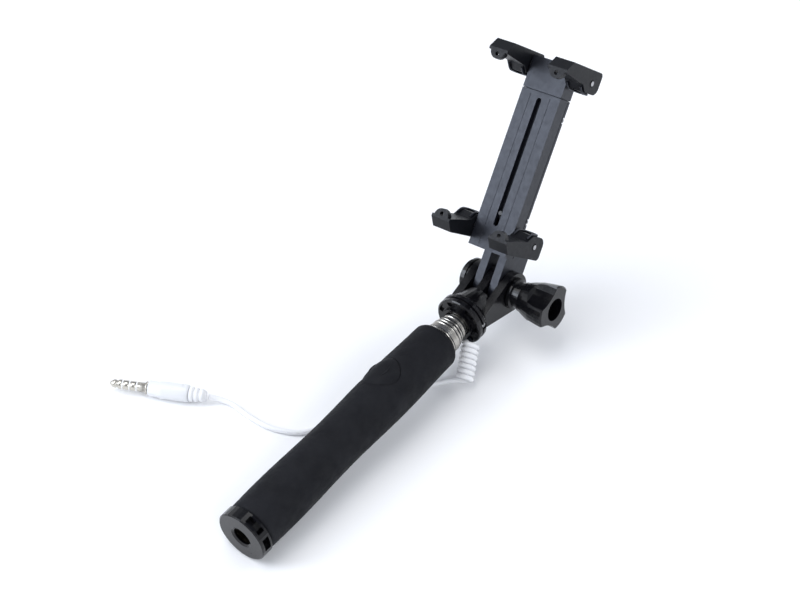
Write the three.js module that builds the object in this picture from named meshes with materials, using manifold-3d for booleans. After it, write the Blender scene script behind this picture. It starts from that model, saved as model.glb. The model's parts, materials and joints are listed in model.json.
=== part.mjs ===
// Wired selfie stick, collapsed and lying on a flat surface. Millimetres, +Z up.
// The stick frame has its origin at the middle of the end cap's face, +Y along the tubes towards the head,
// +X along the hinge bolt towards the knob.
// The clamp frame sits on the hinge: +Y up the clamp, +Z out of its front.
import * as THREE from "three";
import { mergeVertices } from "three/addons/utils/BufferGeometryUtils.js";
import Module from "manifold-3d";

const wasm = await Module();
wasm.setup();

// ---- Driving dimensions ----
const GAP = 0.3; // clearance between neighbouring pieces
const DEG = Math.PI / 180;

// How the stick lies: one end on its cap, the head propped up by the foot of the curly lead.
const TILT = 3.5 * DEG;
const ROLL = 7.4 * DEG;
const CLAMP_ANGLE = 46.6 * DEG;
const PLAN_CENTRE = [0.31, 93.44]; // middle of the plan outline without the lead, taken to the origin

// Handle
const CAP_R = 9.6;
const CAP_LENGTH = 4.5;
const SPIGOT_R = 6.9;
const SPIGOT_END = 11;
const SLEEVE_R = 9.4;
const SLEEVE_BORE_R = 8.3;
const SLEEVE_START = CAP_LENGTH + GAP;
const SLEEVE_END = 104;
const SLEEVE_WAVE = 0.2; // how far the grip's waist and bellies stand in and out
const SLEEVE_END_ROUND = 1.6;
const SLEEVE_LIP = 1; // the sleeve closes over the end of the core
const CORE_R = 8.0;
const CORE_BORE_R = 7.2;
const INSERT_R = 4.3;
const INSERT_BORE_R = 3.1; // takes a quarter-inch tripod screw
const CAP_RECESS_R = 4.2;
const INSERT_START = 1.3;
const INSERT_END = 10.4;

// Lanyard slot in the cap's rim: a curved channel with one post across its mouth
const SLOT_FROM = 20 * DEG;
const SLOT_TO = 103 * DEG;
const POST_FROM = 59 * DEG;
const POST_TO = 73 * DEG;
const LANYARD_LOW = 1.1;
const LANYARD_HIGH = 3.7;
const LANYARD_FLOOR_R = 7.1;
const POST_BACK_R = 8.4;

// Shutter button
const BUTTON_Y = 76.5;
const BUTTON_TURN = -15 * DEG;
const BUTTON_R = 6.9;
const BUTTON_TOP_R = 10.5;
const BUTTON_UNDER_R = 8.7;
const BUTTON_CAVITY_R = 3.9;
const BUTTON_CAVITY_TOP = 9.75;
const SWITCH_SIDE = 5;
const BOARD_LENGTH = 6;
const BOARD_WIDTH = 4;

// Telescopic sections, largest first: outer radius and where each one's outer end is
const TUBE_R = [7.0, 6.58, 6.16, 5.74, 5.32, 4.9];
const TUBE_END = [105.8, 109.0, 110.6, 112.0, 114.1, 125.0];
const TUBE_WALL = 0.3;
const TUBE_START = 13;
const TUBE_START_STEP = 1.2;
const GROOVE_DEPTH = 0.7;
const GROOVE_HALF = 21 * DEG;
const GROOVE_TURN = -50 * DEG;

// Head
const DISC_Y = 116.7;
const DISC_R = 9.5;
const DISC_THICK = 5.2;
const NECK_R = 6.2;
const COLLAR_R = 6.4;
const COLLAR_Y = 115.2;
const HINGE_Y = 139.1;
const EAR_R = 7.4;
const EAR_FOOT = 2.8;
const EAR_THICK = 3.1;
const EAR_PITCH = 6.8;
const BOLT_R = 2.4;
const BOLT_BORE_R = 2.75;
const BOSS_R = 7.0;
const BOSS_END = 12.2;
const NUT_R = 4.5;
const CROSS_PIN_Y = 120;
const CROSS_PIN_R = 0.9;
const LEAD_EXIT = [3.84, -6.79]; // across the near face of the head's disc
const LEAD_HOLE_R = 1.45;
const BUSHING_TOP = 119.6;
const BUSHING_END = 115.9;

// Knob, along the hinge axis from the ear outwards
const KNOB_START = 8.65;
const KNOB_NECK_END = 13.2;
const KNOB_END = 26.2;
const KNOB_NECK_R = 5.0;
const KNOB_R = 8.9;
const KNOB_HOLE_R = 4.3;
const KNOB_SEAT = 15.5;
const LOBES = 3;
const SCOOP_R = 14;
const SCOOP_DEPTH = 3.0; // at the knob's end
const SCOOP_TURN = -12; // degrees

// Clamp, in the clamp frame
const BODY_HALF = 8.15;
const BODY_FRONT = 14.4;
const BODY_BACK = 7.4;
const BODY_LOW = 12;
const BODY_HIGH = 70.7;
const WALL = 1.6;
const SCREW_U = 7.1;
const SCREW_R = 0.6;
const SCREW_HEAD_R = 1.2;
const SCREW_SEAT = 0.9; // depth of the screw head's seat in the back plate
const BACK_THICK = 1.2;
const BACK_FRONT = BODY_BACK + BACK_THICK;
const SLOT_LOW = 21.1;
const SLOT_HIGH = 68.7;
const SLOT_HALF = 1.0;
const LEG_THICK = 3.1;
const SLIDER_HIGH = 82.6;
const SKIRT_HALF = 7.1;
const SKIRT_LOW = 69.3;
const MOUTH_WALL = 0.7; // the front shell is thinner where the slider's skirt enters
const TONGUE_HALF = 5.6;
const TONGUE_LOW = 24;
const GUIDE_PIN_V = 26;
const GUIDE_PIN_R = 0.75;
const SPRING_R = 1.25;
const SPRING_U = 4.05;
const SPRING_LOW = 15;
const SPRING_HIGH = 40;

// Arms: pivoted on a pin along the clamp's width, hooked at the front
const ARM_INNER = 8.5;
const ARM_OUTER = 16.3;
const ARM_PIVOT_W = 11.6;
const ARM_TOP = 4.6; // from the pivot to the arm's outer face
const ARM_LOW = 3.7; // from the pivot to the underside of the heel
const ARM_HEEL = 5.6; // from the pivot to the back of the heel
const ARM_REACH = 19.2; // from the pivot to the front of the nose
const ARM_TOP_V = 79.1;
const ARM_LOW_V = 18.9;
const ARM_PIN_R = 0.9;
const ARM_SPRING_R = 2.3;

// Lead: wire, curly part and plug
const WIRE_R = 0.95;
const COIL_R = 3.4;
const COIL_TOP = [7.05, 114.16, 10.41];
const COIL_FOOT = [10.98, 105.83, 2.85];
const PLUG_R = 3.2;
const PLUG_TURN = 27.7 * DEG;
const PLUG_TIP = [-86.7, 26.7];

// ---- Geometry helpers ----
function toSolid(geometry) {
  const bare = geometry.index ? geometry.toNonIndexed() : geometry;
  const positions = new THREE.BufferGeometry().setAttribute("position", bare.getAttribute("position"));
  const merged = mergeVertices(positions, 1e-4);
  return new wasm.Manifold(
    new wasm.Mesh({
      numProp: 3,
      vertProperties: merged.attributes.position.array,
      triVerts: new Uint32Array(merged.index.array),
    }),
  );
}

function toGeometry(body) {
  const mesh = body.getMesh();
  const geometry = new THREE.BufferGeometry();
  geometry.setAttribute("position", new THREE.BufferAttribute(mesh.vertProperties, 3));
  geometry.setIndex(new THREE.BufferAttribute(mesh.triVerts, 1));
  const flat = geometry.toNonIndexed();
  flat.computeVertexNormals();
  return flat;
}

const cut = (body, ...tools) => tools.reduce((left, tool) => left.subtract(tool), body);
const join = (body, ...others) => others.reduce((left, other) => left.add(other), body);

// Revolves [radius, height] points about Y. The outline may be given either way round.
function lathe(profile, segments = 32) {
  let area = 0;
  profile.forEach(([r, y], i) => {
    const [r2, y2] = profile[(i + 1) % profile.length];
    area += r * y2 - r2 * y;
  });
  const points = profile.map(([r, y]) => new THREE.Vector2(r, y));
  if (area < 0) points.reverse();
  const onAxis = points[0].x === 0 && points[points.length - 1].x === 0;
  if (!onAxis) points.push(points[0].clone());
  return toSolid(new THREE.LatheGeometry(points, segments));
}

function ring(outer, inner, from, to, segments = 32) {
  return lathe([[inner, from], [outer, from], [outer, to], [inner, to]], segments);
}

function rod(radius, from, to, segments = 20) {
  return lathe([[0, from], [radius, from], [radius, to], [0, to]], segments);
}

// The same shapes along X instead of Y.
const alongX = (body) => body.rotate([0, 0, -90]);
const alongZ = (body) => body.rotate([90, 0, 0]);

function box(low, high) {
  const size = high.map((value, i) => value - low[i]);
  const geometry = new THREE.BoxGeometry(...size);
  geometry.translate(...low.map((value, i) => value + size[i] / 2));
  return toSolid(geometry);
}

// Extrudes an outline of the Z-Y plane, given as a Shape of (-z, y), from x = from to x = to.
function slab(shape, from, to, curveSegments = 12) {
  const geometry = new THREE.ExtrudeGeometry(shape, { depth: to - from, bevelEnabled: false, curveSegments });
  geometry.rotateY(Math.PI / 2);
  geometry.translate(from, 0, 0);
  return toSolid(geometry);
}

const finish = (color, roughness, metalness = 0) =>
  new THREE.MeshStandardMaterial({ color, roughness, metalness });

function mesh(name, body, colour, roughness, metalness = 0) {
  const made = new THREE.Mesh(toGeometry(body), finish(colour, roughness, metalness));
  made.name = name;
  return made;
}

// Part of a turn about Y between two angles from +Z towards +X, as a wedge to cut or keep.
function wedge(from, to, radius, low, high) {
  const shape = new THREE.Shape();
  shape.moveTo(0, 0);
  const steps = 6;
  for (let i = 0; i <= steps; i += 1) {
    const angle = from + ((to - from) * i) / steps;
    shape.lineTo(radius * Math.sin(angle), radius * Math.cos(angle));
  }
  const geometry = new THREE.ExtrudeGeometry(shape, { depth: high - low, bevelEnabled: false });
  geometry.rotateX(Math.PI / 2);
  geometry.translate(0, high, 0);
  return toSolid(geometry);
}

// ---- Finishes ----
const RUBBER = 0x24252b;
const PLASTIC = 0x17181c;
const STEEL = 0xb4b2ae;
const BRASS = 0xb08d4c;
const WHITE = 0xf2f2f0;
const BOARD_GREEN = 0x1f5a36;

// ---- Handle ----
function endCap() {
  const shell = lathe([
    [CAP_RECESS_R, 0],
    [CAP_R - 0.4, 0],
    [CAP_R, 0.4],
    [CAP_R, CAP_LENGTH],
    [SPIGOT_R, CAP_LENGTH],
    [SPIGOT_R, SPIGOT_END],
    [INSERT_R + GAP, SPIGOT_END],
    [INSERT_R + GAP, INSERT_START - 0.3],
    [INSERT_BORE_R + 0.3, INSERT_START - 0.3],
    [INSERT_BORE_R + 0.3, 0.5],
  ]);
  const channel = wedge(SLOT_FROM, SLOT_TO, CAP_R + 2, LANYARD_LOW, LANYARD_HIGH);
  const channelFloor = rod(LANYARD_FLOOR_R, LANYARD_LOW - 1, LANYARD_HIGH + 1);
  const post = wedge(POST_FROM, POST_TO, CAP_R + 3, LANYARD_LOW - 1, LANYARD_HIGH + 1);
  const postBack = rod(POST_BACK_R, LANYARD_LOW - 2, LANYARD_HIGH + 2);
  return cut(shell, cut(channel, channelFloor, cut(post, postBack)));
}

function gripSleeve() {
  const stations = 8;
  const length = SLEEVE_END - SLEEVE_START;
  const outer = [];
  for (let i = 0; i <= stations; i += 1) {
    const along = i / stations;
    const wave = SLEEVE_WAVE * Math.sin(along * 3.5 * Math.PI);
    const rounded = i === stations ? SLEEVE_END_ROUND : 0;
    outer.push([SLEEVE_R - SLEEVE_WAVE + wave - rounded, SLEEVE_START + length * along]);
  }
  outer.splice(stations, 0, [SLEEVE_R - 0.3, SLEEVE_END - SLEEVE_END_ROUND]);
  const sleeve = lathe([
    [SLEEVE_BORE_R, SLEEVE_START],
    ...outer,
    [CORE_BORE_R, SLEEVE_END],
    [CORE_BORE_R, SLEEVE_END - SLEEVE_LIP],
    [SLEEVE_BORE_R, SLEEVE_END - SLEEVE_LIP],
  ], 36);
  const hole = alongZ(rod(BUTTON_R + GAP, 0, 20, 28));
  return cut(sleeve, hole.rotate([0, BUTTON_TURN / DEG, 0]).translate([0, BUTTON_Y, 0]));
}

function buttonCap() {
  const stem = alongZ(rod(BUTTON_R, 0, 20, 28));
  const skin = ring(BUTTON_TOP_R, BUTTON_UNDER_R, -BUTTON_R - 1, BUTTON_R + 1, 48);
  const cavity = alongZ(rod(BUTTON_CAVITY_R, 0, BUTTON_CAVITY_TOP, 24));
  return cut(skin.intersect(stem), cavity);
}

function switchParts() {
  const half = SWITCH_SIDE / 2;
  const base = 8.75;
  const board = box([-BOARD_WIDTH / 2, -BOARD_LENGTH / 2, 8.1], [BOARD_WIDTH / 2, BOARD_LENGTH / 2, 8.45]);
  const body = cut(
    box([-half + 0.1, -half, base], [half - 0.1, half, base + 0.45]),
    alongZ(rod(1.15, 8, 12, 16)),
  );
  const plunger = alongZ(rod(0.85, 8.95, 9.45, 16));
  return { board, body, plunger };
}

// One telescopic section: a thin tube with a groove along its top, so that the sections can't twist.
function tubeSection(index) {
  const outer = TUBE_R[index];
  const section = (radius) => {
    const points = [];
    const count = 32;
    for (let i = 0; i < count; i += 1) {
      const angle = (i / count) * 2 * Math.PI;
      const away = Math.min(angle, 2 * Math.PI - angle);
      const share = Math.min(away / GROOVE_HALF, 1);
      const dip = GROOVE_DEPTH * (0.5 + 0.5 * Math.cos(share * Math.PI));
      const r = radius - dip;
      points.push(new THREE.Vector2(r * Math.sin(angle), -r * Math.cos(angle)));
    }
    return points;
  };
  const from = TUBE_START + TUBE_START_STEP * index;
  const extrude = (radius, low, high) => {
    const geometry = new THREE.ExtrudeGeometry(new THREE.Shape(section(radius)), {
      depth: high - low,
      bevelEnabled: false,
    });
    geometry.rotateX(-Math.PI / 2);
    geometry.translate(0, low, 0);
    return toSolid(geometry);
  };
  const to = TUBE_END[index];
  const tube = cut(extrude(outer, from, to), extrude(outer - TUBE_WALL, from - 1, to + 1));
  const isLast = index === TUBE_R.length - 1;
  return isLast ? cut(tube, turnedBack(crossPinHole())) : tube;
}

const crossPinHole = () => alongX(rod(CROSS_PIN_R + GAP, -20, 20, 16)).translate([0, CROSS_PIN_Y, 0]);
const turnedBack = (body) => body.rotate([0, -GROOVE_TURN / DEG, 0]);

// ---- Head ----
function ear(x, length) {
  const shape = new THREE.Shape();
  shape.moveTo(-EAR_FOOT, HINGE_Y - length);
  shape.lineTo(-EAR_R, HINGE_Y - 1);
  shape.absarc(0, HINGE_Y, EAR_R, Math.PI, 0, true);
  shape.lineTo(EAR_R, HINGE_Y - 1);
  shape.lineTo(EAR_FOOT, HINGE_Y - length);
  return slab(shape, x - EAR_THICK / 2, x + EAR_THICK / 2, 16);
}

function headBase() {
  const collarBore = TUBE_R[5] + GAP;
  const disc = lathe([
    [0, COLLAR_Y],
    [COLLAR_R, COLLAR_Y],
    [COLLAR_R, DISC_Y],
    [DISC_R - 0.4, DISC_Y],
    [DISC_R, DISC_Y + 0.4],
    [DISC_R, DISC_Y + 1.7],
    [DISC_R - 0.6, DISC_Y + 1.9],
    [DISC_R - 0.6, DISC_Y + 2.4],
    [DISC_R, DISC_Y + 2.6],
    [DISC_R, DISC_Y + 3.8],
    [DISC_R - 1.0, DISC_Y + DISC_THICK],
    [0, DISC_Y + DISC_THICK],
  ]);
  const neck = lathe([
    [0, DISC_Y + DISC_THICK - 1],
    [DISC_R - 1, DISC_Y + DISC_THICK - 1],
    [DISC_R - 1.3, DISC_Y + DISC_THICK + 0.4],
    [NECK_R, HINGE_Y - EAR_R - 2.4],
    [0, HINGE_Y - EAR_R - 1.2],
  ]);
  const ears = [-EAR_PITCH, 0, EAR_PITCH].map((x) => ear(x, HINGE_Y - DISC_Y - DISC_THICK));
  const boss = alongX(lathe([
    [0, -BOSS_END],
    [BOSS_R - 1.2, -BOSS_END],
    [BOSS_R - 0.9, -BOSS_END + 0.3],
    [BOSS_R - 0.9, -BOSS_END + 1.3],
    [BOSS_R, -BOSS_END + 1.5],
    [BOSS_R, -BOSS_END + 2.5],
    [BOSS_R - 0.5, -BOSS_END + 2.7],
    [BOSS_R - 0.5, -EAR_PITCH],
    [0, -EAR_PITCH],
  ])).translate([0, HINGE_Y, 0]);
  const bore = alongX(rod(BOLT_BORE_R, -20, 20)).translate([0, HINGE_Y, 0]);
  const nutPocket = alongX(rod(NUT_R + GAP, -20, -EAR_PITCH - 0.6, 6)).translate([0, HINGE_Y, 0]);
  const tubeSocket = rod(collarBore, COLLAR_Y - 1, TUBE_END[5] + GAP, 40);
  const leadHole = rod(LEAD_HOLE_R, COLLAR_Y - 1, BUSHING_TOP + GAP, 16)
    .translate([LEAD_EXIT[0], 0, LEAD_EXIT[1]]);
  const pockets = [30, 75, 285, 330].map((angle) => {
    const pocket = wedge(angle * DEG, (angle + 28) * DEG, DISC_R - 0.9, DISC_Y - 1, DISC_Y + 0.8);
    return cut(pocket, rod(COLLAR_R + 0.6, DISC_Y - 2, DISC_Y + 2));
  });
  const holes = [bore, nutPocket, tubeSocket, crossPinHole(), leadHole];
  return cut(join(disc, neck, ...ears, boss), ...pockets, ...holes);
}


// The bushing that the wire comes out of, low on the near face of the head's disc.
function leadBushing() {
  const radius = LEAD_HOLE_R - GAP;
  const bushing = lathe([
    [0, BUSHING_TOP],
    [radius, BUSHING_TOP],
    [radius, BUSHING_END + 0.15],
    [radius - 0.15, BUSHING_END],
    [0, BUSHING_END],
  ], 16);
  return bushing.translate([LEAD_EXIT[0], 0, LEAD_EXIT[1]]);
}

// Three scoops leave three lobes; the knob flares from its neck to a flat end with a deep round well.
function knob() {
  const flare = alongX(lathe([
    [0, KNOB_START],
    [KNOB_NECK_R + 0.8, KNOB_START],
    [KNOB_NECK_R + 0.8, KNOB_START + 1.2],
    [KNOB_NECK_R, KNOB_START + 1.6],
    [KNOB_NECK_R, KNOB_NECK_END - 0.8],
    [KNOB_NECK_R + 0.6, KNOB_NECK_END - 0.4],
    [KNOB_NECK_R + 0.6, KNOB_NECK_END],
    [6.6, KNOB_NECK_END + 2.4],
    [7.8, KNOB_NECK_END + 6],
    [8.5, KNOB_NECK_END + 9.6],
    [KNOB_R, KNOB_END - 0.5],
    [KNOB_R - 0.5, KNOB_END],
    [0, KNOB_END],
  ], 36));
  const scoops = Array.from({ length: LOBES }, (_, i) => {
    const blunt = lathe([
      [0, KNOB_NECK_END + 3.4],
      [SCOOP_R - 2.5, KNOB_NECK_END + 3.4],
      [SCOOP_R, KNOB_NECK_END + 5.4],
      [SCOOP_R, KNOB_END + 3],
      [0, KNOB_END + 3],
    ], 36);
    const scoop = alongX(blunt).translate([0, KNOB_R + SCOOP_R - SCOOP_DEPTH, 0]);
    return scoop.rotate([(360 / LOBES) * i + SCOOP_TURN, 0, 0]);
  });
  const well = alongX(rod(KNOB_HOLE_R, KNOB_SEAT, KNOB_END + 5));
  const bore = alongX(rod(BOLT_BORE_R, 0, KNOB_END + 5));
  return cut(flare, ...scoops, well, bore);
}

function hingeBolt() {
  const from = -BOSS_END + 0.6;
  return alongX(lathe([
    [0, from],
    [BOLT_R, from],
    [BOLT_R, KNOB_SEAT + GAP],
    [KNOB_HOLE_R - GAP, KNOB_SEAT + GAP],
    [KNOB_HOLE_R - GAP, KNOB_SEAT + 3.6],
    [2.2, KNOB_SEAT + 3.6],
    [2.2, KNOB_SEAT + 2.0],
    [0, KNOB_SEAT + 2.0],
  ]));
}

function hingeNut() {
  const blank = alongX(rod(NUT_R, -BOSS_END + 0.4, -EAR_PITCH - 0.9, 6));
  return cut(blank, alongX(rod(BOLT_BORE_R, -20, 0)));
}

// ---- Clamp ----
function leg(u) {
  const shape = new THREE.Shape();
  shape.absarc(0, 0, EAR_R, 0, -Math.PI, true);
  shape.lineTo(-BODY_BACK, BODY_LOW + 10);
  shape.lineTo(-BODY_BACK + 1, BODY_LOW + 10);
  shape.lineTo(EAR_R, BODY_LOW + 1);
  return slab(shape, u - LEG_THICK / 2, u + LEG_THICK / 2, 16);
}

function clampBack() {
  const plate = box([-BODY_HALF, BODY_LOW, BODY_BACK - 0.05], [BODY_HALF, BODY_HIGH, BACK_FRONT]);
  const legs = [-EAR_PITCH / 2, EAR_PITCH / 2].map(leg);
  const bore = alongX(rod(BOLT_BORE_R, -20, 20));
  const holes = screwPlaces().map(([u, v]) => {
    const shankHole = rod(SCREW_R + GAP, 0, 20, 12);
    const seat = rod(SCREW_HEAD_R + GAP, 0, BODY_BACK + SCREW_SEAT, 16);
    return alongZ(join(shankHole, seat)).translate([u, v, 0]);
  });
  return cut(join(plate, ...legs), bore, ...holes);
}

function screwPlaces() {
  return [-1, 1].flatMap((side) => [BODY_LOW + 14, BODY_HIGH - 7].map((v) => [side * SCREW_U, v]));
}

// A screw along the clamp's depth, its head sunk in the back plate.
function clampScrew([u, v]) {
  const tip = BACK_FRONT + GAP + 2.6;
  const neck = BODY_BACK + SCREW_SEAT - GAP;
  const screw = lathe([
    [0, BODY_BACK],
    [SCREW_HEAD_R, BODY_BACK],
    [SCREW_HEAD_R, neck],
    [SCREW_R, neck],
    [SCREW_R, tip],
    [0, tip],
  ], 12);
  return alongZ(screw).translate([u, v, 0]);
}

function clampFront() {
  const back = BACK_FRONT + GAP;
  const shell = box([-BODY_HALF, BODY_LOW, back], [BODY_HALF, BODY_HIGH, BODY_FRONT]);
  const hollow = box(
    [-TONGUE_HALF - GAP, BODY_LOW + WALL, back - 1],
    [TONGUE_HALF + GAP, BODY_HIGH + 1, BODY_FRONT - WALL],
  );
  const mouth = box(
    [-SKIRT_HALF - GAP, SKIRT_LOW - GAP, back - 1],
    [SKIRT_HALF + GAP, BODY_HIGH + 1, BODY_FRONT - MOUTH_WALL],
  );
  const slot = slotTool(SLOT_HALF, SLOT_LOW, SLOT_HIGH);
  const pinBores = pinBoreTools(ARM_LOW_V);
  const holes = screwPlaces().map(([u, v]) =>
    alongZ(rod(SCREW_R + 0.15, 0, back + 3, 12)).translate([u, v, 0]),
  );
  return cut(shell, hollow, mouth, slot, ...pinBores, ...holes);
}

function pinBoreTools(v) {
  return [-1, 1].map((side) => {
    const from = side > 0 ? 6.2 : -20;
    const to = side > 0 ? 20 : -6.2;
    return alongX(rod(ARM_PIN_R + GAP, from, to, 16)).translate([0, v, ARM_PIVOT_W]);
  });
}

function slotTool(half, low, high) {
  const middle = box([-half, low + half, 0], [half, high - half, 20]);
  const ends = [low + half, high - half].map((v) => alongZ(rod(half, 0, 20, 16)).translate([0, v, 0]));
  return join(middle, ...ends);
}

function clampSlider() {
  const inner = BACK_FRONT + 2 * GAP;
  const head = box([-BODY_HALF, BODY_HIGH + GAP, BODY_BACK], [BODY_HALF, SLIDER_HIGH, BODY_FRONT]);
  const tongue = box(
    [-TONGUE_HALF, TONGUE_LOW, inner],
    [TONGUE_HALF, BODY_HIGH + 1, BODY_FRONT - WALL - GAP],
  );
  const springLanes = [-1, 1].map((side) =>
    box(
      [side * SPRING_U - SPRING_R - GAP, TONGUE_LOW - 1, inner - 1],
      [side * SPRING_U + SPRING_R + GAP, SPRING_HIGH + GAP, 20],
    ),
  );
  const pinHole = alongZ(rod(GUIDE_PIN_R + GAP, 0, 20, 16)).translate([0, GUIDE_PIN_V, 0]);
  const skirt = box(
    [-SKIRT_HALF, SKIRT_LOW, inner],
    [SKIRT_HALF, BODY_HIGH + 1, BODY_FRONT - MOUTH_WALL - GAP],
  );
  return cut(join(head, tongue, skirt), ...springLanes, pinHole, ...pinBoreTools(ARM_TOP_V));
}

function guidePin() {
  const shank = rod(GUIDE_PIN_R, BACK_FRONT + 2 * GAP, BODY_FRONT - 0.5, 16);
  return alongZ(shank).translate([0, GUIDE_PIN_V, 0]);
}

function clampSpring(side) {
  return rod(SPRING_R, SPRING_LOW, SPRING_HIGH - 1, 12).translate([side * SPRING_U, 0, 11]);
}

// An arm about its pivot: y across its height (positive towards the clamp's end), z forward.
// The heel behind the pin is square with rounded corners, and the underside rises towards the nose.
function armBlank() {
  const shape = new THREE.Shape();
  shape.moveTo(ARM_HEEL - 1.6, ARM_TOP);
  shape.lineTo(-(ARM_REACH - 3.2), ARM_TOP);
  shape.lineTo(-ARM_REACH, ARM_TOP - 3.4);
  shape.lineTo(-ARM_REACH, ARM_TOP - 4.4);
  shape.lineTo(-(ARM_REACH - 4), ARM_TOP - 4.9);
  shape.lineTo(-5.5, ARM_TOP - 5.9);
  shape.lineTo(-2.8, -ARM_LOW);
  shape.lineTo(ARM_HEEL - 3, -ARM_LOW);
  shape.absarc(ARM_HEEL - 3, -ARM_LOW + 3, 3, -Math.PI / 2, 0, false);
  shape.absarc(ARM_HEEL - 1.6, ARM_TOP - 1.6, 1.6, 0, Math.PI / 2, false);
  return shape;
}

function arm() {
  const blank = slab(armBlank(), ARM_INNER, ARM_OUTER, 16);
  const lipCentre = ARM_TOP - 4.2;
  const lip = rod(3.0, ARM_REACH - 2.2, ARM_REACH, 24)
    .rotate([90, 0, 0])
    .translate([(ARM_INNER + ARM_OUTER) / 2, lipCentre, 0]);
  const lipHole = rod(0.8, ARM_REACH - 4, ARM_REACH + 1, 12)
    .rotate([90, 0, 0])
    .translate([(ARM_INNER + ARM_OUTER) / 2, lipCentre - 1.1, 0]);
  const upper = box([0, lipCentre - 20, 0], [30, ARM_TOP - 3.4, 40]);
  const springPocket = alongX(rod(ARM_SPRING_R + GAP, ARM_INNER - 1, ARM_INNER + 2.2, 24));
  const bore = alongX(rod(ARM_PIN_R + GAP, 0, 30, 16));
  return cut(join(blank, lip.intersect(upper)), lipHole, springPocket, bore);
}

const armPin = () => alongX(rod(ARM_PIN_R, 6.6, ARM_OUTER + 0.25, 16));
const armSpring = () => alongX(ring(ARM_SPRING_R, ARM_PIN_R + GAP, ARM_INNER + 0.1, ARM_INNER + 1.8, 20));

// ---- Lead ----
const onFloor = (x, y) => [x, y, WIRE_R];
// Out of the bushing and up to the top of the curly part.
const STUB_ROUTE = [
  [4.68, 115.72, 10.41],
  [4.68, 115.12, 10.38],
  [4.7, 114.55, 10.34],
];
// Where the wire runs after the curly part: under the handle and out to the plug.
const LEAD_ROUTE = [
  onFloor(6.9, 104.6),
  onFloor(3.6, 100.6),
  onFloor(-1.0, 93.5),
  onFloor(-6.5, 82.0),
  onFloor(-11.5, 69.0),
  onFloor(-15.4, 58.6),
  onFloor(-19.2, 52.4),
  onFloor(-24.6, 48.9),
  onFloor(-31.6, 46.8),
  onFloor(-39.5, 46.6),
  onFloor(-46.4, 47.2),
  [-51.2, 46.0, 1.6],
  [-54.6, 43.5, 3.0],
];

function wire(points, steps) {
  const curve = new THREE.CatmullRomCurve3(points.map((point) => new THREE.Vector3(...point)));
  const section = new THREE.Shape();
  const sides = 8;
  for (let i = 0; i < sides; i += 1) {
    const angle = ((i + 0.5) / sides) * 2 * Math.PI;
    const x = WIRE_R * Math.cos(angle);
    const y = WIRE_R * Math.sin(angle);
    if (i === 0) section.moveTo(x, y);
    else section.lineTo(x, y);
  }
  return toSolid(new THREE.ExtrudeGeometry(section, { steps, extrudePath: curve, bevelEnabled: false }));
}

// The curly part leans from the head down to the surface.
function coil() {
  const top = new THREE.Vector3(...COIL_TOP);
  const run = new THREE.Vector3(...COIL_FOOT).sub(top);
  const solid = new THREE.Mesh(toGeometry(rod(COIL_R, 0, run.length(), 20)), finish(WHITE, 0.5));
  solid.name = "lead_coil";
  solid.position.copy(top);
  solid.quaternion.setFromUnitVectors(new THREE.Vector3(0, 1, 0), run.normalize());
  return solid;
}

// The plug along +Y from the tip of its contacts, before it is turned and laid down.
function plugContacts() {
  return lathe([[0, 0], [0.9, 0.5], [1.7, 1.9], [1.25, 2.6], [1.75, 3.2], [1.75, 14], [0, 14]], 24);
}

function plugBody() {
  return lathe([
    [0, 14 + GAP],
    [2.8, 14 + GAP],
    [2.9, 18.2],
    [3.15, 18.6],
    [PLUG_R, 24],
    [PLUG_R - 0.1, 29],
    [0, 29],
  ], 32);
}

function plugRelief() {
  return lathe([[0, 29.3], [2.9, 29.3], [2.4, 35], [0, 35]], 24);
}

// ---- Assembly ----
const root = new THREE.Group();
const resting = new THREE.Group();
resting.position.set(-PLAN_CENTRE[0], -PLAN_CENTRE[1], 0);
root.add(resting);

const stick = new THREE.Group();
stick.position.z = CAP_R * Math.cos(TILT);
const roll = new THREE.Group();
roll.rotation.y = -ROLL;
stick.rotation.x = TILT;
stick.add(roll);
resting.add(stick);

roll.add(mesh("end_cap", endCap(), PLASTIC, 0.3));
const insert = ring(INSERT_R, INSERT_BORE_R, INSERT_START, INSERT_END, 40);
roll.add(mesh("tripod_insert", insert, BRASS, 0.35, 0.9));
roll.add(mesh("grip_sleeve", gripSleeve(), RUBBER, 0.85));
const core = ring(CORE_R, CORE_BORE_R, SLEEVE_START + GAP, SLEEVE_END - SLEEVE_LIP - GAP, 36);
roll.add(mesh("handle_core", core, PLASTIC, 0.5));

const button = new THREE.Group();
button.position.y = BUTTON_Y;
button.rotation.y = BUTTON_TURN;
roll.add(button);
const switches = switchParts();
button.add(mesh("shutter_button", buttonCap(), RUBBER, 0.6));
button.add(mesh("switch_board", switches.board, BOARD_GREEN, 0.6));
button.add(mesh("tact_switch", switches.body, STEEL, 0.4, 0.8));
button.add(mesh("switch_plunger", switches.plunger, WHITE, 0.5));

const pole = new THREE.Group();
pole.rotation.y = GROOVE_TURN;
roll.add(pole);
TUBE_R.forEach((_, index) => pole.add(mesh(`tube_${index + 1}`, tubeSection(index), STEEL, 0.2, 1)));

roll.add(mesh("head_base", headBase(), PLASTIC, 0.3));
roll.add(mesh("lead_bushing", leadBushing(), PLASTIC, 0.5));
roll.add(mesh(
  "head_cross_pin",
  alongX(rod(CROSS_PIN_R, -DISC_R + 0.7, DISC_R - 0.7, 16)).translate([0, CROSS_PIN_Y, 0]),
  STEEL, 0.3, 1,
));

const hinge = new THREE.Group();
hinge.position.y = HINGE_Y;
roll.add(hinge);
hinge.add(mesh("hinge_nut", hingeNut(), STEEL, 0.35, 1));
hinge.add(mesh("hinge_bolt", hingeBolt(), STEEL, 0.3, 1));
hinge.add(mesh("hinge_knob", knob(), PLASTIC, 0.25));

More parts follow.
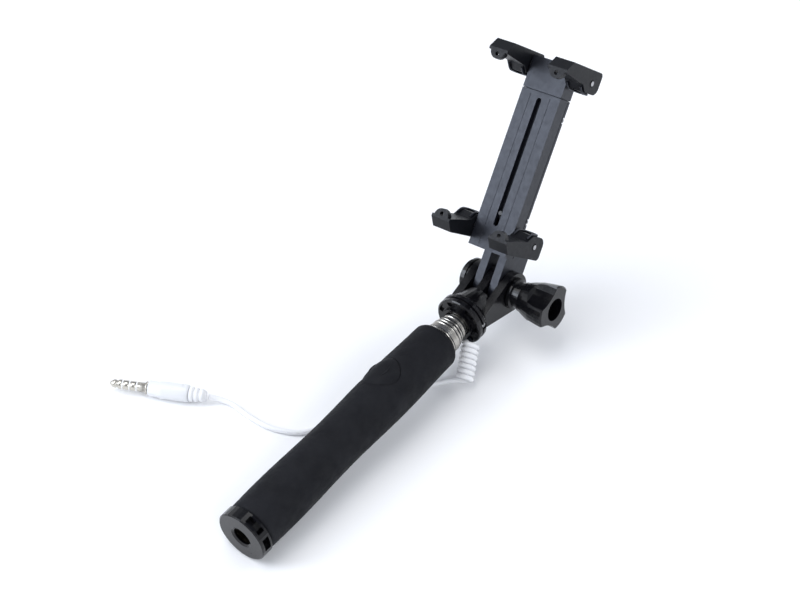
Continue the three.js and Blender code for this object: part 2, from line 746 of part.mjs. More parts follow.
const clamp = new THREE.Group();
clamp.rotation.x = CLAMP_ANGLE;
hinge.add(clamp);
clamp.add(mesh("clamp_back", clampBack(), PLASTIC, 0.45));
clamp.add(mesh("clamp_front", clampFront(), PLASTIC, 0.4));
clamp.add(mesh("clamp_slider", clampSlider(), PLASTIC, 0.4));
clamp.add(mesh("guide_pin", guidePin(), STEEL, 0.3, 1));
screwPlaces().forEach((place, i) => {
  clamp.add(mesh(`clamp_screw_${i + 1}`, clampScrew(place), STEEL, 0.3, 1));
});
for (const [name, side] of [["left", -1], ["right", 1]]) {
  clamp.add(mesh(`clamp_spring_${name}`, clampSpring(side), STEEL, 0.3, 1));
  for (const [row, v, flip] of [["upper", ARM_TOP_V, 1], ["lower", ARM_LOW_V, -1]]) {
    const pivot = new THREE.Group();
    pivot.position.set(0, v, ARM_PIVOT_W);
    pivot.scale.set(side, flip, 1);
    clamp.add(pivot);
    pivot.add(mesh(`${row}_arm_${name}`, arm(), PLASTIC, 0.4));
    pivot.add(mesh(`${row}_arm_pin_${name}`, armPin(), STEEL, 0.3, 1));
    pivot.add(mesh(`${row}_arm_spring_${name}`, armSpring(), STEEL, 0.3, 1));
  }
}

resting.add(coil());
resting.add(mesh("lead_stub", wire(STUB_ROUTE, 8), WHITE, 0.5));
resting.add(mesh("lead_wire", wire(LEAD_ROUTE, 30), WHITE, 0.5));
const plug = new THREE.Group();
plug.position.set(PLUG_TIP[0], PLUG_TIP[1], PLUG_R);
plug.rotation.z = PLUG_TURN - Math.PI / 2;
resting.add(plug);
plug.add(mesh("plug_contacts", plugContacts(), STEEL, 0.2, 1));
plug.add(mesh("plug_body", plugBody(), WHITE, 0.4));
plug.add(mesh("plug_strain_relief", plugRelief(), WHITE, 0.5));

export default root;
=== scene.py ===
import json
import math

import bmesh
import bpy
from mathutils import Matrix, Vector, noise


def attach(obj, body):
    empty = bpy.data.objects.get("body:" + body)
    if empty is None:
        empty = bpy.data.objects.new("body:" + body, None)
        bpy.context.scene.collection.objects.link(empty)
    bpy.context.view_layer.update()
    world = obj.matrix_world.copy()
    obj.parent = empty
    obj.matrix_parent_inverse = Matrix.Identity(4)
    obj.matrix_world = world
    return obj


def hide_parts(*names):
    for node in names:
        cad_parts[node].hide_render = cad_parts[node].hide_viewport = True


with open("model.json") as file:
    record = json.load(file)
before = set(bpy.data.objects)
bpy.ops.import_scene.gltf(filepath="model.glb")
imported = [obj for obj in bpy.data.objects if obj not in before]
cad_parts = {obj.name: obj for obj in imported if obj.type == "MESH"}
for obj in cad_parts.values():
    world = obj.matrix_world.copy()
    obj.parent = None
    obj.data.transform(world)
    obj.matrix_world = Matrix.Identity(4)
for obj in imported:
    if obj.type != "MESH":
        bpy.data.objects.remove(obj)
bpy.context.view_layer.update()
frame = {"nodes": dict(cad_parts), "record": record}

# ---- Frames and sizes, in millimetres as in the CAD ----
TILT = math.radians(3.5)
ROLL = math.radians(7.4)
CLAMP_ANGLE = math.radians(46.6)
PLAN_CENTRE = (0.31, 93.44)
CAP_R = 9.6
HINGE_Y = 139.1
METRES = Matrix.Scale(0.001, 4)
PLAN = Matrix.Translation((-PLAN_CENTRE[0], -PLAN_CENTRE[1], 0))
# Stick: +Y along the pole, +X along the hinge bolt. Clamp: +Y up the clamp, +Z out of its front.
STICK = (
    PLAN
    @ Matrix.Translation((0, 0, CAP_R * math.cos(TILT)))
    @ Matrix.Rotation(TILT, 4, "X")
    @ Matrix.Rotation(-ROLL, 4, "Y")
)
HINGE = STICK @ Matrix.Translation((0, HINGE_Y, 0))
CLAMP = HINGE @ Matrix.Rotation(CLAMP_ANGLE, 4, "X")

# ---- Camera ----
CAMERA_PLACE = (260.6, -248.4, 458.6)
CAMERA_AZIMUTH = math.radians(38.2)
CAMERA_ELEVATION = math.radians(43.9)
CAMERA_LENS = 79.5


def make_camera():
    data = bpy.data.cameras.new("camera")
    data.lens = CAMERA_LENS
    data.sensor_width = 36
    data.clip_start = 0.01
    camera = bpy.data.objects.new("camera", data)
    camera.location = METRES @ PLAN @ Vector(CAMERA_PLACE)
    camera.rotation_euler = (math.pi / 2 - CAMERA_ELEVATION, 0, CAMERA_AZIMUTH)
    bpy.context.collection.objects.link(camera)
    bpy.context.scene.camera = camera


make_camera()


# ---- Materials ----
NOISE_DETAIL = 3.0
RAMP_LOW = 0.3
RAMP_HIGH = 0.7
WHITE_PLASTIC_DEPTH = (0.0008, 0.0008, 0.0009)  # how far light of each colour travels inside, in metres


class Finish:
    """A Principled material, with helpers for the nodes that vary it over the surface."""

    def __init__(self, name, colour, roughness, metallic=0.0, **settings):
        self.material = bpy.data.materials.new(name)
        self.material.use_nodes = True
        self.nodes = self.material.node_tree.nodes
        self.links = self.material.node_tree.links
        self.shader = self.nodes["Principled BSDF"]
        self.shader.inputs["Base Color"].default_value = (*colour, 1)
        self.shader.inputs["Roughness"].default_value = roughness
        self.shader.inputs["Metallic"].default_value = metallic
        for label, value in settings.items():
            self.shader.inputs[label.replace("_", " ")].default_value = value
        self.place = self.nodes.new("ShaderNodeTexCoord").outputs["Object"]
        self.normal = None

    def noise(self, scale):
        texture = self.nodes.new("ShaderNodeTexNoise")
        texture.inputs["Scale"].default_value = scale
        texture.inputs["Detail"].default_value = NOISE_DETAIL
        self.links.new(self.place, texture.inputs["Vector"])
        return texture.outputs["Fac"]

    def ramp(self, value, low, high):
        ramp = self.nodes.new("ShaderNodeValToRGB")
        ramp.color_ramp.elements[0].position = RAMP_LOW
        ramp.color_ramp.elements[1].position = RAMP_HIGH
        ramp.color_ramp.elements[0].color = low
        ramp.color_ramp.elements[1].color = high
        self.links.new(value, ramp.inputs["Fac"])
        return ramp.outputs["Color"]

    def vary_colour(self, scale, low, high):
        colour = self.ramp(self.noise(scale), (*low, 1), (*high, 1))
        self.links.new(colour, self.shader.inputs["Base Color"])

    def vary_roughness(self, scale, low, high):
        value = self.ramp(self.noise(scale), (low, low, low, 1), (high, high, high, 1))
        self.links.new(value, self.shader.inputs["Roughness"])

    def bump(self, scale, depth, strength):
        """Relief of a depth in metres. Calls stack."""
        bump = self.nodes.new("ShaderNodeBump")
        bump.inputs["Distance"].default_value = depth
        bump.inputs["Strength"].default_value = strength
        self.links.new(self.noise(scale), bump.inputs["Height"])
        if self.normal:
            self.links.new(self.normal, bump.inputs["Normal"])
        self.normal = bump.outputs["Normal"]
        self.links.new(self.normal, self.shader.inputs["Normal"])


def rubber():
    finish = Finish("rubber_black", (0.0055, 0.006, 0.0085), 0.74, Specular_IOR_Level=0.18)
    finish.vary_colour(110, (0.0045, 0.0049, 0.0068), (0.0072, 0.0077, 0.0105))
    finish.vary_roughness(260, 0.6, 0.8)
    finish.bump(1400, 0.00010, 0.5)
    finish.bump(4200, 0.00006, 0.4)
    return finish.material


def gloss_black():
    finish = Finish("gloss_black", (0.0025, 0.0025, 0.0035), 0.2, Specular_IOR_Level=0.38)
    finish.vary_roughness(170, 0.16, 0.28)
    finish.bump(420, 0.00005, 0.25)
    return finish.material


def satin_black():
    finish = Finish("satin_black", (0.006, 0.0068, 0.0105), 0.38, Specular_IOR_Level=0.46)
    finish.shader.inputs["Specular Tint"].default_value = (0.86, 0.9, 1, 1)
    finish.vary_colour(60, (0.005, 0.0057, 0.0088), (0.0078, 0.0086, 0.013))
    finish.vary_roughness(700, 0.35, 0.44)
    finish.bump(1800, 0.00003, 0.2)
    return finish.material


# The arms' satin plastic with a darker base colour than satin_black: painted shade on the arms, which face
# away from the light.
def arm_black_painted_shade():
    finish = Finish("arm_black_painted_shade", (0.0035, 0.004, 0.006), 0.44, Specular_IOR_Level=0.24)
    finish.vary_colour(60, (0.003, 0.0034, 0.005), (0.0046, 0.0052, 0.0076))
    finish.vary_roughness(700, 0.4, 0.5)
    finish.bump(1800, 0.00003, 0.2)
    return finish.material


def steel_black():
    finish = Finish("steel_black", (0.008, 0.008, 0.009), 0.4, 0.3)
    finish.vary_roughness(600, 0.28, 0.45)
    return finish.material


def stainless():
    finish = Finish("stainless", (0.42, 0.40, 0.37), 0.24, 1.0)
    finish.vary_colour(140, (0.36, 0.345, 0.315), (0.48, 0.46, 0.425))
    finish.vary_roughness(320, 0.18, 0.32)
    return finish.material


def steel():
    finish = Finish("steel", (0.42, 0.42, 0.43), 0.3, 1.0)
    finish.vary_roughness(600, 0.24, 0.42)
    return finish.material


def brass():
    finish = Finish("brass", (0.045, 0.04, 0.032), 0.45, 1.0)
    finish.vary_roughness(500, 0.3, 0.5)
    return finish.material


def cable_white():
    finish = Finish("cable_white", (0.80, 0.805, 0.82), 0.42, Subsurface_Weight=0.12)
    finish.shader.inputs["Subsurface Radius"].default_value = WHITE_PLASTIC_DEPTH
    finish.vary_roughness(380, 0.36, 0.52)
    finish.bump(1500, 0.00004, 0.3)
    return finish.material


def plug_white():
    finish = Finish("plug_white", (0.72, 0.73, 0.75), 0.3, Subsurface_Weight=0.1)
    finish.shader.inputs["Subsurface Radius"].default_value = WHITE_PLASTIC_DEPTH
    finish.vary_roughness(420, 0.26, 0.40)
    return finish.material


def plug_metal():
    finish = Finish("plug_metal", (0.58, 0.555, 0.50), 0.24, 1.0)
    finish.vary_roughness(500, 0.20, 0.32)
    return finish.material


def board_green():
    finish = Finish("board_green", (0.02, 0.16, 0.06), 0.5)
    finish.vary_roughness(300, 0.4, 0.6)
    return finish.material


def insulator_white():
    finish = Finish("insulator_white", (0.78, 0.78, 0.77), 0.42)
    finish.vary_roughness(500, 0.36, 0.5)
    return finish.material


FINISHES = {
    "rubber_black": rubber(),
    "gloss_black": gloss_black(),
    "satin_black": satin_black(),
    "stainless": stainless(),
    "steel": steel(),
    "brass": brass(),
    "cable_white": cable_white(),
    "plug_white": plug_white(),
    "plug_metal": plug_metal(),
    "board_green": board_green(),
}
STEEL_BLACK = steel_black()
ARM_BLACK_PAINTED_SHADE = arm_black_painted_shade()
INSULATOR = insulator_white()
ARMS = [f"{row}_arm_{side}" for row in ("upper", "lower") for side in ("left", "right")]
SPECIAL = {name: STEEL_BLACK for name in ("guide_pin", "hinge_bolt", "hinge_nut")}
# The arms get the darker copy of satin black, as painted shade.
SPECIAL.update({name: ARM_BLACK_PAINTED_SHADE for name in ARMS})
SLOT_OF = {part["node"]: part["material_slot"] for part in frame["record"]["subparts"]}


def dress_cad_nodes():
    for name, node in frame["nodes"].items():
        node.data.materials.clear()
        node.data.materials.append(SPECIAL.get(name, FINISHES[SLOT_OF[name]]))


dress_cad_nodes()


# ---- Making and placing pieces ----
def to_object(name, vertices, faces, place):
    """A mesh object from points in millimetres, put in place by a matrix in millimetres."""
    mesh = bpy.data.meshes.new(name)
    mesh.from_pydata(vertices, [], faces)
    mesh.transform(METRES @ place)
    shape = bmesh.new()
    shape.from_mesh(mesh)
    bmesh.ops.recalc_face_normals(shape, faces=shape.faces)
    shape.to_mesh(mesh)
    shape.free()
    mesh.polygons.foreach_set("use_smooth", [True] * len(mesh.polygons))
    piece = bpy.data.objects.new(name, mesh)
    bpy.context.collection.objects.link(piece)
    return piece


def finish_piece(piece, body, slot, *replaced):
    piece.data.materials.append(FINISHES[slot])
    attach(piece, body)
    if replaced:
        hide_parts(*replaced)
    return piece


def loft(rings, closed=False):
    """Faces between rings of equally many points. The ends are capped, or joined to each other if closed."""
    count = len(rings[0])
    vertices = [tuple(point) for ring in rings for point in ring]
    faces = []
    spans = len(rings) if closed else len(rings) - 1
    for i in range(spans):
        here = i * count
        there = ((i + 1) % len(rings)) * count
        for j in range(count):
            after = (j + 1) % count
            faces.append((here + j, there + j, there + after, here + after))
    if not closed:
        faces.append(tuple(range(count)))
        faces.append(tuple(reversed(range(len(vertices) - count, len(vertices)))))
    return vertices, faces


def lathe_rings(profile, segments, radius_at=None):
    """Rings about Y for [radius, height] points. radius_at(angle, radius, height) may change a radius."""
    rings = []
    for radius, height in profile:
        ring = []
        for j in range(segments):
            angle = 2 * math.pi * j / segments
            r = radius_at(angle, radius, height) if radius_at else radius
            ring.append((r * math.sin(angle), height, r * math.cos(angle)))
        rings.append(ring)
    return rings


def curve_piece(name, points, radius, place):
    """A round wire through points in millimetres, as one poly spline."""
    data = bpy.data.curves.new(name, "CURVE")
    data.dimensions = "3D"
    data.bevel_depth = radius / 1000
    data.bevel_resolution = 4
    data.use_fill_caps = True
    spline = data.splines.new("POLY")
    spline.points.add(len(points) - 1)
    matrix = METRES @ place
    for spot, point in zip(spline.points, points):
        spot.co = (*(matrix @ Vector(point)), 1)
    spline.use_smooth = True
    piece = bpy.data.objects.new(name, data)
    bpy.context.collection.objects.link(piece)
    return piece


SPAN_STEPS = 6


def smooth_route(points):
    """Catmull-Rom points through given ones."""
    route = []
    padded = [points[0], *points, points[-1]]
    for i in range(1, len(padded) - 2):
        p0, p1, p2, p3 = (Vector(padded[i + k]) for k in (-1, 0, 1, 2))
        for step in range(SPAN_STEPS):
            t = step / SPAN_STEPS
            route.append(
                0.5 * (2 * p1 + (p2 - p0) * t + (2 * p0 - 5 * p1 + 4 * p2 - p3) * t * t
                       + (3 * p1 - p0 - 3 * p2 + p3) * t ** 3)
            )
    route.append(Vector(points[-1]))
    return route


# ---- Lead ----
WIRE_R = 0.95
COIL_R = 3.4
COIL_TOP = (7.05, 114.16, 10.41)
COIL_FOOT = (10.98, 105.83, 2.85)
COIL_START = -0.95  # along the coil's axis from COIL_TOP
COIL_TURNS = 6 + 2 / 3
STEPS_PER_TURN = 24


def on_floor(x, y):
    return (x, y, WIRE_R)


STUB_ROUTE = [(4.68, 115.72, 10.41), (4.68, 115.12, 10.38), (4.7, 114.55, 10.34), (4.75, 113.9, 10.9)]
LEAD_ROUTE = [
    on_floor(6.9, 104.6),
    on_floor(3.6, 100.6),
    on_floor(-1.0, 93.5),
    on_floor(-6.5, 82.0),
    on_floor(-11.5, 69.0),
    on_floor(-15.4, 58.6),
    on_floor(-19.2, 52.4),
    on_floor(-24.6, 48.9),
    on_floor(-31.6, 46.8),
    on_floor(-39.5, 46.6),
    on_floor(-46.4, 47.2),
    (-51.2, 46.0, 1.6),
    (-54.6, 43.5, 3.0),
]


def coil_points():
    """The helix from the head down to the surface. It ends low, on the side that the wire leaves by."""
    top = Vector(COIL_TOP)
    foot = Vector(COIL_FOOT)
    along = (foot - top).normalized()
    side = Vector((0, 0, 1)).cross(along).normalized()
    over = along.cross(side)
    length = (foot - top).length - COIL_START
    steps = round(COIL_TURNS * STEPS_PER_TURN)
    points = []
    for i in range(steps + 1):
        share = i / steps
        angle = 2 * math.pi * COIL_TURNS * (1 - share) - math.pi / 2
        centre = top + along * (COIL_START + length * share)
        points.append(centre + (COIL_R - WIRE_R) * (math.cos(angle) * side + math.sin(angle) * over))
    return points


PLUG_TURN = math.radians(27.7)
PLUG_TIP = (-86.7, 26.7)
PLUG_R = 3.2
PLUG = (
    PLAN
    @ Matrix.Translation((*PLUG_TIP, PLUG_R))
    @ Matrix.Rotation(PLUG_TURN - math.pi / 2, 4, "Z")
)


def make_lead(plug_pieces):
    helix = coil_points()
    stub = smooth_route([*STUB_ROUTE, helix[0]])
    lead = smooth_route([helix[-1], *LEAD_ROUTE])
    route = stub[:-1] + helix + lead[1:]
    piece = curve_piece("lead", route, WIRE_R, PLAN)
    finish_piece(piece, "head", "cable_white", "lead_stub", "lead_coil", "lead_wire")


RELIEF_START = 29.3  # from the plug's tip
RELIEF_END = 35.0
RELIEF_PITCH = 1.9
RELIEF_CORE_R = 1.9
BAND_SPOTS = (4.6, 7.2, 9.8)  # the insulating rings between the contacts, from the tip
JACK_R = 1.72
AXIS_R = 0.01  # the small end of a turned profile


def make_plug():
    body_profile = [
        (AXIS_R, 14.3), (2.5, 14.3), (2.8, 14.5), (2.85, 18.0), (2.95, 18.3), (3.1, 18.5), (3.15, 20),
        (3.2, 24), (3.15, 28.2), (3.0, 28.8), (2.7, 29.0), (AXIS_R, 29.0),
    ]
    body = to_object("plug_shell", *loft(lathe_rings(body_profile, 48)), PLUG)
    finish_piece(body, "head", "plug_white", "plug_body")
    relief_profile = [(AXIS_R, RELIEF_START)]
    for i in range(3):
        start = RELIEF_START + RELIEF_PITCH * i
        outer = 2.75 - 0.2 * i
        relief_profile += [
            (outer - 0.15, start), (outer, start + 0.2), (outer - 0.05, start + 1.05),
            (outer - 0.25, start + 1.25), (RELIEF_CORE_R, start + 1.3), (RELIEF_CORE_R, start + 1.85),
        ]
    relief_profile[-1] = (RELIEF_CORE_R, RELIEF_END)
    relief_profile.append((AXIS_R, RELIEF_END))
    relief = to_object("plug_relief", *loft(lathe_rings(relief_profile, 40)), PLUG)
    finish_piece(relief, "head", "cable_white", "plug_strain_relief")
    jack_profile = [
        (AXIS_R, 0), (0.5, 0.15), (0.95, 0.6), (1.35, 1.3), (1.55, 1.9), (1.5, 2.3), (1.2, 2.75),
        (1.25, 3.0), (1.6, 3.25), (JACK_R, 3.4),
    ]
    for spot in BAND_SPOTS:
        jack_profile += [(JACK_R, spot), (1.70, spot + 0.02), (1.70, spot + 0.58), (JACK_R, spot + 0.6)]
    jack_profile += [(JACK_R, 13.3), (2.3, 13.35), (2.3, 13.95), (AXIS_R, 14.0)]
    jack = to_object("plug_jack", *loft(lathe_rings(jack_profile, 40)), PLUG)
    finish_piece(jack, "head", "plug_metal", "plug_contacts")
    pieces = [body, relief, jack]
    for i, spot in enumerate(BAND_SPOTS):
        band_profile = [(1.6, spot + 0.03), (1.75, spot + 0.03), (1.75, spot + 0.57), (1.6, spot + 0.57)]
        band = to_object(f"plug_band_{i + 1}", *loft(lathe_rings(band_profile, 40), closed=True), PLUG)
        band.data.materials.append(INSULATOR)
        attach(band, "head")
        pieces.append(band)
    return pieces


make_lead(make_plug())


# ---- Handle ----
SLEEVE_START = 4.8
SLEEVE_END = 104
SLEEVE_R = 9.4
SLEEVE_BORE_R = 8.3
CORE_BORE_R = 7.2
GRIP_ROWS = 150
GRIP_SEGMENTS = 132
GRIP_WAVE = 0.27
GRIP_HALF_WAVES = 3.5
DISH_DEPTH = 0.16
DISH_WIDTH = 0.9
CREASE_DEPTH = 0.09
CREASE_SHARPNESS = 0.035
CREASE_SHIFT = Vector((3.1, 0, 7.7))  # which stretch of the noise the creases come from
GRAIN_DEPTH = 0.035
SOFT_EDGE = math.radians(50)
BUTTON_Y = 76.5
BUTTON_R = 7.0
BUTTON_HOLE_R = BUTTON_R * 1.02
BUTTON_RIM_R = 6.98
BUTTON_SEGMENTS = 72
CAVITY_R = 3.9
CAVITY_TOP = 9.75
BUTTON_TURN = math.radians(-15)
BUTTON = STICK @ Matrix.Translation((0, BUTTON_Y, 0)) @ Matrix.Rotation(BUTTON_TURN, 4, "Y")


def apply_modifiers(piece):
    piece.data = bpy.data.meshes.new_from_object(piece.evaluated_get(bpy.context.evaluated_depsgraph_get()))
    piece.modifiers.clear()


def grip_surface(angle, radius, height):
    """The grip's skin: a slow wave along it, a dished ring around the button and faint random creases."""
    share = (height - SLEEVE_START) / (SLEEVE_END - SLEEVE_START)
    wave = GRIP_WAVE * (math.sin(share * GRIP_HALF_WAVES * math.pi) - 0.8)
    turned = (angle - BUTTON_TURN + math.pi) % (2 * math.pi) - math.pi
    across = SLEEVE_R * turned
    ring = math.hypot(across, height - BUTTON_Y) - BUTTON_R
    dish = -DISH_DEPTH * math.exp(-((ring - 0.4) / DISH_WIDTH) ** 2)
    spot = Vector((radius * math.sin(angle), height, radius * math.cos(angle)))
    contour = noise.noise(spot * 0.16 + CREASE_SHIFT)
    crease = -CREASE_DEPTH * math.exp(-(contour / CREASE_SHARPNESS) ** 2)
    grain = GRAIN_DEPTH * noise.noise(spot * 0.7)
    return radius + wave + dish + crease + grain


def disc_ring(radius, height, count):
    """A circle of points about +Z."""
    angles = [2 * math.pi * j / count for j in range(count)]
    return [(radius * math.cos(angle), radius * math.sin(angle), height) for angle in angles]


def make_grip():
    outer = []
    for i in range(GRIP_ROWS + 1):
        height = SLEEVE_START + (SLEEVE_END - SLEEVE_START) * i / GRIP_ROWS
        from_end = min(height - SLEEVE_START, (SLEEVE_END - height) * 0.55)
        rounding = 0.75 * max(0.0, 1 - from_end / 0.9) ** 2
        outer.append((SLEEVE_R - rounding, height))
    mouth = [
        (CORE_BORE_R + 0.3, SLEEVE_END - 0.2),
        (CORE_BORE_R, SLEEVE_END - 0.6),
        (CORE_BORE_R, SLEEVE_END - 1),
        (SLEEVE_BORE_R, SLEEVE_END - 1),
    ]
    rings = lathe_rings([(SLEEVE_BORE_R, SLEEVE_START)], GRIP_SEGMENTS)
    rings += lathe_rings(outer, GRIP_SEGMENTS, grip_surface)
    rings += lathe_rings(mouth, GRIP_SEGMENTS)
    piece = to_object("grip", *loft(rings, closed=True), STICK)
    cutter_rings = [disc_ring(BUTTON_HOLE_R, height, 64) for height in (4, 14)]
    cutter = to_object("grip_cutter", *loft(cutter_rings), BUTTON)
    hole = piece.modifiers.new("hole", "BOOLEAN")
    hole.object = cutter
    hole.solver = "EXACT"
    apply_modifiers(piece)
    bpy.data.objects.remove(cutter)
    piece.data.set_sharp_from_angle(angle=SOFT_EDGE)
    finish_piece(piece, "handle", "rubber_black", "grip_sleeve")


def make_button():
    """A low dome that carries on the grip's curve, hollow underneath for the switch."""
    profile = [(CAVITY_R, 8.7), (6.8, 8.7), (BUTTON_RIM_R, 8.8), (BUTTON_RIM_R, 9.1)]
    steps = 14
    for i in range(steps + 1):
        share = 1 - i / steps
        profile.append((max(BUTTON_RIM_R * share, 0.05), 9.22 + 1.24 * (1 - share ** 2.3) ** 0.9))
    rings = [disc_ring(rho, CAVITY_TOP, BUTTON_SEGMENTS) for rho in (0.05, CAVITY_R)]
    for rho, radius in profile:
        flat = disc_ring(rho, 0, BUTTON_SEGMENTS)
        rings.append([(x, y, math.sqrt(radius ** 2 - x ** 2)) for x, y, _ in flat])
    piece = to_object("button_dome", *loft(rings), BUTTON)
    piece.data.set_sharp_from_angle(angle=SOFT_EDGE)
    finish_piece(piece, "button", "rubber_black", "shutter_button")


# ---- Pole ----
TUBE_R = (7.0, 6.58, 6.16, 5.74, 5.32, 4.9)
TUBE_END = (105.8, 109.0, 110.6, 112.0, 114.1, 125.0)
TUBE_BODY = ("handle", "tube_2", "tube_3", "tube_4", "tube_5", "head")
TUBE_WALL = 0.3
TUBE_START = 13
TUBE_START_STEP = 1.2
GROOVE_DEPTH = 0.7
GROOVE_HALF = math.radians(21)
GROOVE_TURN = math.radians(-50)
POLE = STICK @ Matrix.Rotation(GROOVE_TURN, 4, "Y")
BEAD_AT = 1.0  # a rolled groove this far behind each section's lip
BEAD_DEPTH = 0.2
TUBE_SEGMENTS = 96
BUSH_SEGMENTS = 72
TUBE_EDGE = math.radians(40)


def grooved(angle, radius, _height):
    """A radius pulled in along one line, for the groove that keeps the sections from turning."""
    away = min(angle, 2 * math.pi - angle)
    share = min(away / GROOVE_HALF, 1)
    return radius - GROOVE_DEPTH * (0.5 + 0.5 * math.cos(share * math.pi))


def section_profile(radius, start, end, lipped):
    """A section's wall, with a rolled bead and an in-turned lip where the next one slides in."""
    inner = radius - TUBE_WALL
    if not lipped:
        return [(inner, start), (radius, start), (radius, end), (inner, end)]
    bead = end - BEAD_AT
    return [
        (inner, start), (radius, start),
        (radius, bead - 0.32), (radius - BEAD_DEPTH, bead - 0.1),
        (radius - BEAD_DEPTH, bead + 0.08), (radius, bead + 0.3),
        (radius, end - 0.5), (radius - 0.05, end - 0.22), (radius - 0.15, end - 0.06),
        (radius - 0.27, end), (radius - 0.36, end - 0.05), (inner, end - 0.5),
    ]


def make_bush_and_gap_shade(i, end, body):
    """The dark bushing ring in a section's mouth, around the next section. Its black also paints the shade
    in the gap between the sections.
    """
    bore = TUBE_R[i + 1] + 0.03
    profile = [
        (bore, end - 0.02), (bore, end + 0.22), (bore + 0.12, end + 0.3),
        (bore + 0.22, end + 0.2), (bore + 0.22, end + 0.02),
    ]
    rings = lathe_rings(profile, BUSH_SEGMENTS, grooved)
    # Satin black here is partly the bushing's own colour and partly painted shade in the gap between
    # sections.
    finish_piece(to_object(f"section_bush_and_gap_shade_{i + 1}", *loft(rings, closed=True), POLE), body, "satin_black")


def make_sections():
    for i, (radius, end, body) in enumerate(zip(TUBE_R, TUBE_END, TUBE_BODY)):
        start = TUBE_START + TUBE_START_STEP * i
        lipped = i < len(TUBE_R) - 1
        if lipped:
            make_bush_and_gap_shade(i, end, body)
        rings = lathe_rings(section_profile(radius, start, end, lipped), TUBE_SEGMENTS, grooved)
        piece = to_object(f"section_{i + 1}", *loft(rings, closed=True), POLE)
        piece.data.set_sharp_from_angle(angle=TUBE_EDGE)
        finish_piece(piece, body, "stainless", f"tube_{i + 1}")


# ---- Clamp details ----
BODY_FRONT = 14.4
BODY_BACK = 7.4
BODY_HALF = 8.15
ARM_PIVOT_W = 11.6
ARM_V = {"upper": 79.1, "lower": 18.9}
ARM_FLIP = {"upper": 1, "lower": -1}
SIDES = {"left": -1, "right": 1}
FRONT_LINE_U = 4.1
RIDGE_TAPER = 0.3
WIRE_SPRING_R = 0.42
LAND_CORNER = 0.6
LAND_INSET = 0.15


def ridge(name, u, v_low, v_high, w_low, w_high, half, body):
    """A long low rib with a rounded back along the clamp."""
    angles = [math.pi * k / 6 for k in range(7)]
    back = [(u + half * math.cos(angle), w_low + (w_high - w_low) * math.sin(angle)) for angle in angles]
    rings = []
    for v, scale in ((v_low, RIDGE_TAPER), (v_low + half, 1), (v_high - half, 1), (v_high, RIDGE_TAPER)):
        rings.append([(u + (x - u) * scale, v, w_low + (w - w_low) * scale) for x, w in back])
    piece = to_object(name, *loft(rings), CLAMP)
    finish_piece(piece, body, "satin_black")


def arm_wire(row, side):
    """The wire spring bent over the inner face of an arm's heel."""
    route = [(9.6, -2.2, 5.2), (9.6, -3.3, 3.9), (9.55, -4.0, 2.6), (9.5, -4.12, 0.4), (9.9, -4.12, -1.5),
             (11.4, -4.12, -2.5), (13.4, -4.12, -2.5), (14.9, -4.12, -1.5), (15.3, -4.12, 0.4),
             (15.3, -4.0, 2.6), (15.3, -3.3, 3.9), (15.3, -2.2, 5.2)]
    placed = [(SIDES[side] * u, ARM_V[row] + ARM_FLIP[row] * v, ARM_PIVOT_W + w) for u, v, w in route]
    wire = curve_piece(f"{row}_arm_wire_{side}", smooth_route(placed), WIRE_SPRING_R, CLAMP)
    finish_piece(wire, f"{row}_arm_{side}", "satin_black")


def joint_rim():
    """A thin dark land between the front shell and the slider's head, just inside their outline."""
    half = BODY_HALF - LAND_INSET - LAND_CORNER
    low = BODY_BACK + LAND_INSET + LAND_CORNER
    high = BODY_FRONT - LAND_INSET - LAND_CORNER
    centres = [(half, high), (-half, high), (-half, low), (half, low)]
    outline = []
    for k, (u, w) in enumerate(centres):
        for step in range(5):
            angle = math.pi / 2 * (k + step / 4)
            outline.append((u + LAND_CORNER * math.cos(angle), w + LAND_CORNER * math.sin(angle)))
    rings = [[(u, v, w) for u, w in outline] for v in (70.74, 70.97)]
    finish_piece(to_object("slider_land", *loft(rings), CLAMP), "slider", "satin_black")


make_grip()
make_button()
joint_rim()
make_sections()
for line_side, sign in SIDES.items():
    line_u = sign * FRONT_LINE_U
    ridge(f"front_line_{line_side}", line_u, 13.2, 69.6, BODY_FRONT - 0.02, BODY_FRONT + 0.07, 0.1, "clamp")
ridge("slot_rail", 0, 29, 67.5, 12.46, 12.72, 0.42, "slider")
for arm_row in ARM_V:
    for arm_side in SIDES:
        arm_wire(arm_row, arm_side)


# ---- Rounded edges on the hard parts ----
BEVELS = {
    "end_cap": 0.25, "tripod_insert": 0.15, "head_base": 0.3, "hinge_knob": 0.35, "hinge_bolt": 0.15,
    "clamp_back": 0.35, "clamp_front": 0.45, "clamp_slider": 0.45, "handle_core": 0.1, "lead_bushing": 0.15,
}
BEVELS.update({name: 0.9 for name in ARMS})
HARD_EDGE = math.radians(32)
FLAT_ENOUGH = math.radians(0.5)


def round_edges(name, width):
    node = frame["nodes"][name]
    flats = node.modifiers.new("flats", "DECIMATE")
    flats.decimate_type = "DISSOLVE"
    flats.angle_limit = FLAT_ENOUGH
    bevel = node.modifiers.new("edges", "BEVEL")
    bevel.width = width / 1000
    bevel.segments = 3
    bevel.limit_method = "ANGLE"
    bevel.angle_limit = HARD_EDGE
    bevel.harden_normals = True


def smooth_shading():
    for node in frame["nodes"].values():
        node.data.polygons.foreach_set("use_smooth", [True] * len(node.data.polygons))
        node.data.set_sharp_from_angle(angle=HARD_EDGE)


smooth_shading()
for node_name, bevel_width in BEVELS.items():
    round_edges(node_name, bevel_width)


# ---- Stage ----
FLOOR_HALF = 6.0  # metres
FLOOR_DROP = 0.0002  # metres, so that the floor doesn't flicker through what rests on it


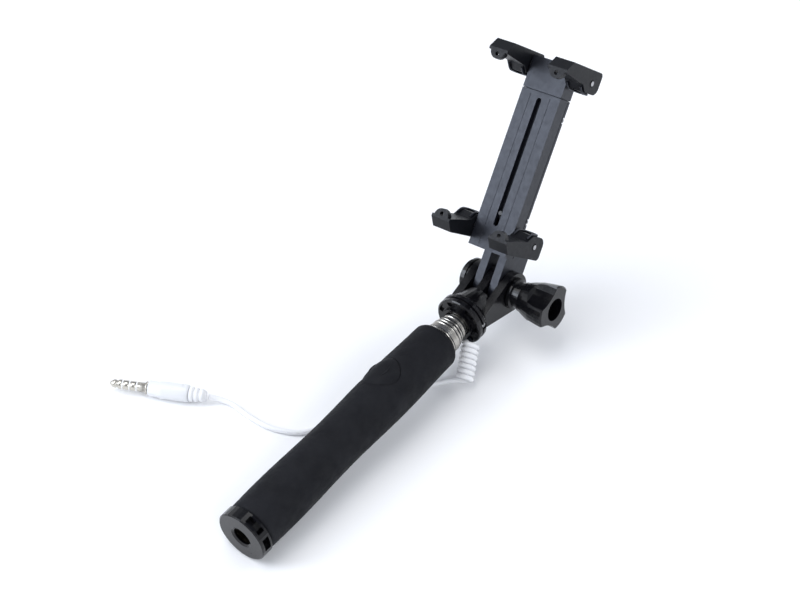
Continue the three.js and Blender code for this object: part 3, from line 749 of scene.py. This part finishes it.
def make_stage():
    mesh = bpy.data.meshes.new("floor")
    corners = [(-FLOOR_HALF, -FLOOR_HALF, 0), (FLOOR_HALF, -FLOOR_HALF, 0),
               (FLOOR_HALF, FLOOR_HALF, 0), (-FLOOR_HALF, FLOOR_HALF, 0)]
    mesh.from_pydata(corners, [], [(0, 1, 2, 3)])
    floor = bpy.data.objects.new("floor", mesh)
    floor.location.z = -FLOOR_DROP
    bpy.context.collection.objects.link(floor)
    paint = Finish("floor_white", (0.9, 0.9, 0.905), 0.85)
    mesh.materials.append(paint.material)


def area_light(name, place, target, size, power, tint=(1, 1, 1)):
    data = bpy.data.lights.new(name, "AREA")
    data.shape = "RECTANGLE"
    data.size, data.size_y = size
    data.energy = power
    data.color = tint
    light = bpy.data.objects.new(name, data)
    light.location = place
    light.rotation_euler = (Vector(target) - Vector(place)).to_track_quat("-Z", "Y").to_euler()
    bpy.context.collection.objects.link(light)


def make_world():
    """A pale room: bright near the horizon and dimmer overhead."""
    world = bpy.data.worlds.new("studio")
    world.use_nodes = True
    nodes = world.node_tree.nodes
    links = world.node_tree.links
    coordinates = nodes.new("ShaderNodeTexCoord")
    split = nodes.new("ShaderNodeSeparateXYZ")
    links.new(coordinates.outputs["Generated"], split.inputs["Vector"])
    ramp = nodes.new("ShaderNodeValToRGB")
    ramp.color_ramp.elements[0].position = 0.1
    ramp.color_ramp.elements[0].color = (0.93, 0.95, 1.0, 1)
    ramp.color_ramp.elements[1].position = 0.75
    ramp.color_ramp.elements[1].color = (0.17, 0.19, 0.24, 1)
    links.new(split.outputs["Z"], ramp.inputs["Fac"])
    links.new(ramp.outputs["Color"], nodes["Background"].inputs["Color"])
    nodes["Background"].inputs["Strength"].default_value = 0.95
    bpy.context.scene.world = world


def make_light():
    area_light("key", (-0.3, -0.2, 1.05), (0, 0, 0.03), (0.9, 0.9), 7)
    area_light("front", (-0.62, -0.62, 0.52), (0, 0.05, 0.06), (0.5, 0.5), 5.6, (0.84, 0.9, 1))
    area_light("fill", (0.75, -0.35, 0.6), (0, 0, 0.03), (0.7, 0.4), 3.2, (0.94, 0.97, 1))
    area_light("back", (0.25, 0.85, 0.65), (0, 0, 0.05), (0.9, 0.3), 4, (0.94, 0.97, 1))


make_world()
make_stage()
make_light()
bpy.context.scene.view_settings.view_transform = "Standard"
